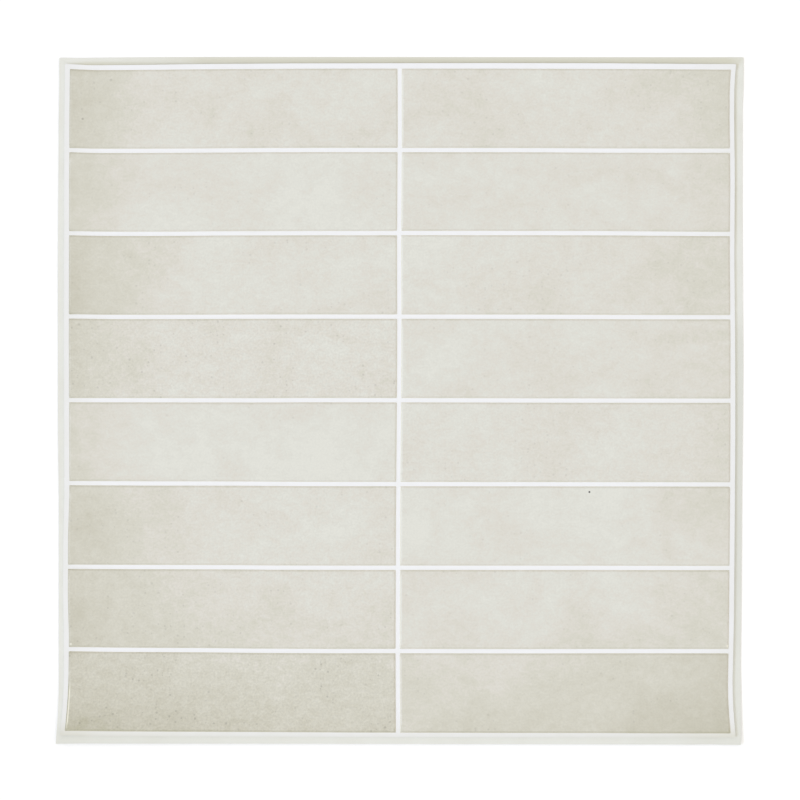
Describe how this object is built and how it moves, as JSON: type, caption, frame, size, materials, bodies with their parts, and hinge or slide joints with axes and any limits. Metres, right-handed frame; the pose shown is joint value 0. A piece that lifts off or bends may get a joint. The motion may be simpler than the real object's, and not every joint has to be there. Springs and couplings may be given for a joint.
{
  "type": "peel and stick backsplash tile",
  "caption": "Square peel-and-stick backsplash sheet: long stone-look tile pads in a stacked bond on a white vinyl film with grout-like joints, kept on a slightly larger release liner.",
  "frame": {"origin": "middle of the release liner's underside", "axes": "+Z out of the tiled face, +Y up the wall as the sheet is hung, +X to the right as the face is seen"},
  "size_m": [0.2604, 0.2614, 0.0016],
  "materials": {
    "liner": "silicone-coated, satin",
    "film": "smooth matte white vinyl",
    "tile": "matte, printed with a pale beige-grey stone pattern"
  },
  "bodies": {
    "root": {"release_liner": "liner", "vinyl_film": "film", "tile_row_1_left": "tile", "tile_row_1_right": "tile", "tile_row_2_left": "tile", "tile_row_2_right": "tile", "tile_row_3_left": "tile", "tile_row_3_right": "tile", "tile_row_4_left": "tile", "tile_row_4_right": "tile", "tile_row_5_left": "tile", "tile_row_5_right": "tile", "tile_row_6_left": "tile", "tile_row_6_right": "tile", "tile_row_7_left": "tile", "tile_row_7_right": "tile", "tile_row_8_left": "tile", "tile_row_8_right": "tile"}
  },
  "joints": []
}
